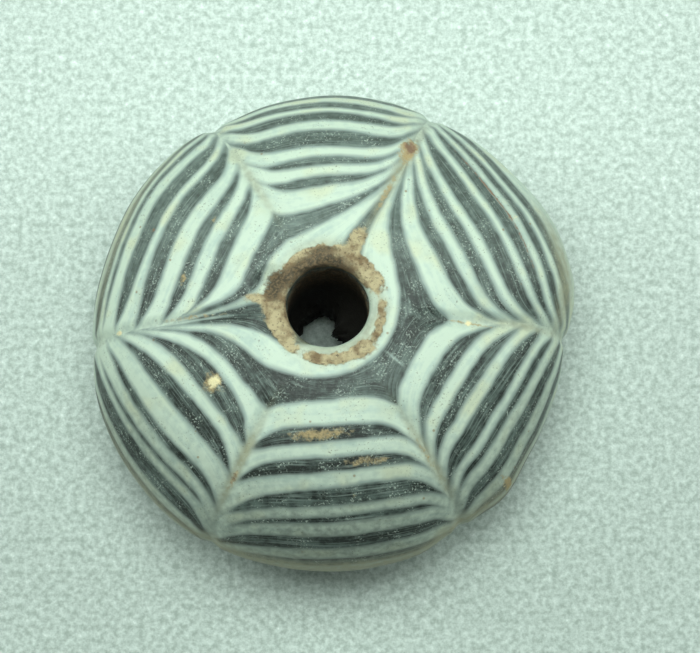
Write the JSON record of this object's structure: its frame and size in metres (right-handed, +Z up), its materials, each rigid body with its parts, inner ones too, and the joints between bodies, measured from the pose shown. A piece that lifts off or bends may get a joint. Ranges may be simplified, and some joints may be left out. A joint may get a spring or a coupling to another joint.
{
  "type": "glass spindle whorl",
  "caption": "Flattened dome of dark glass with flush white trails combed outward into a web of cusps, bored through for a spindle.",
  "frame": {"origin": "on the axis of the bore, in the plane of the flat underside", "axes": "+Z up along the axis of the bore, from the flat underside to the domed face; +Y to the top and +X to the right of the domed face as pictured"},
  "size_m": [0.035, 0.035, 0.0166],
  "materials": {
    "whorl_glass": "satin, weathered, opaque to the eye, with flush opaque white trails"
  },
  "bodies": {
    "root": {"whorl": "whorl_glass"}
  },
  "joints": []
}
